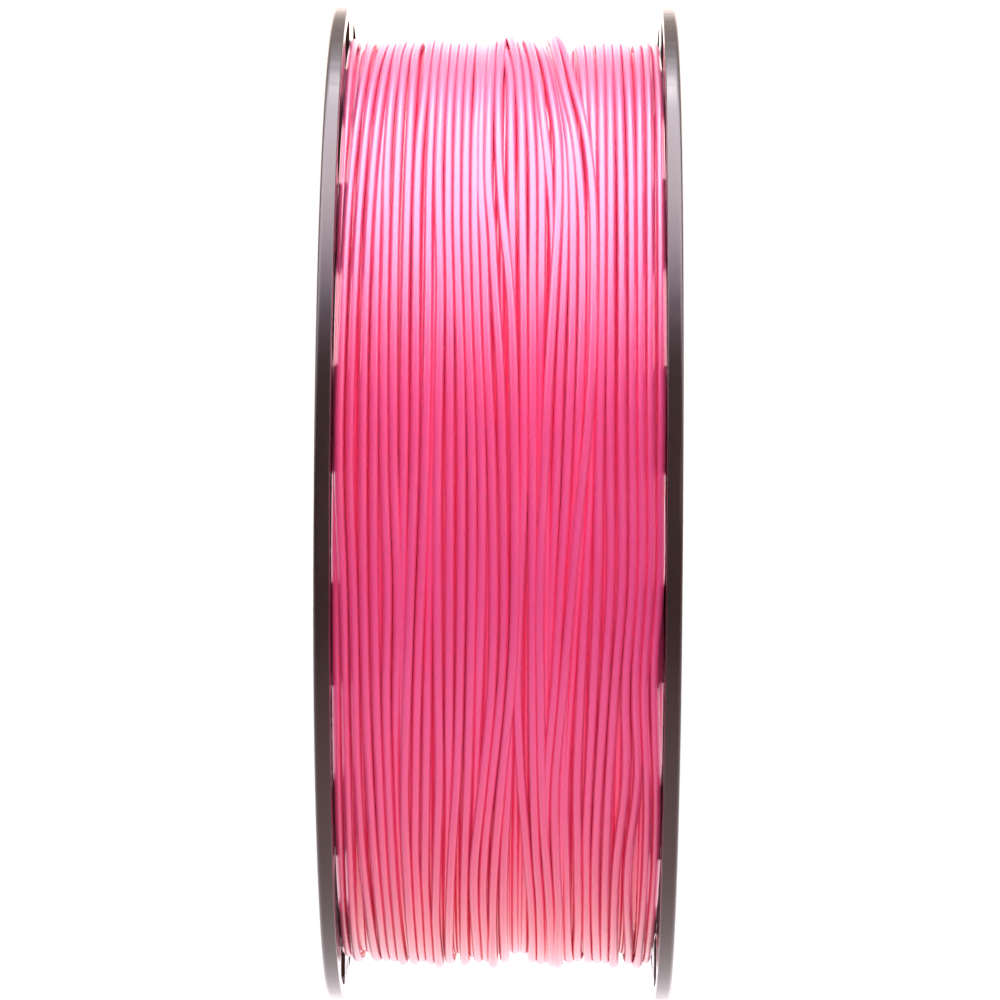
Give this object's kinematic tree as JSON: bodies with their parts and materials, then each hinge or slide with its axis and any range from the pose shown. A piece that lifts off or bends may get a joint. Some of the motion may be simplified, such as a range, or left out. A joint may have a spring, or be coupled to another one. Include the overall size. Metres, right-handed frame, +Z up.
{
  "type": "line spool",
  "caption": "Wide-flanged plastic spool with windowed flanges, standing on its rims and wound full with thick glossy round line.",
  "frame": {"origin": "on the spool's axis, halfway between the two flanges", "axes": "+X along the spool's axis towards the right flange, +Z up with the spool standing on its rims, -Y towards the front"},
  "size_m": [0.068, 0.2, 0.2],
  "materials": {
    "spool_black": "glossy moulded black plastic, slightly brown, lightly scuffed",
    "barrel_black": "moulded black plastic",
    "screw_steel": "zinc-plated steel",
    "line_pink": "glossy opaque pink plastic line"
  },
  "bodies": {
    "root": {"left_flange": "spool_black", "right_flange": "spool_black", "barrel": "barrel_black", "left_screws": "screw_steel", "right_screws": "screw_steel", "inner_windings": "line_pink", "outer_turns": "line_pink", "line_inner_end": "line_pink"}
  },
  "joints": []
}
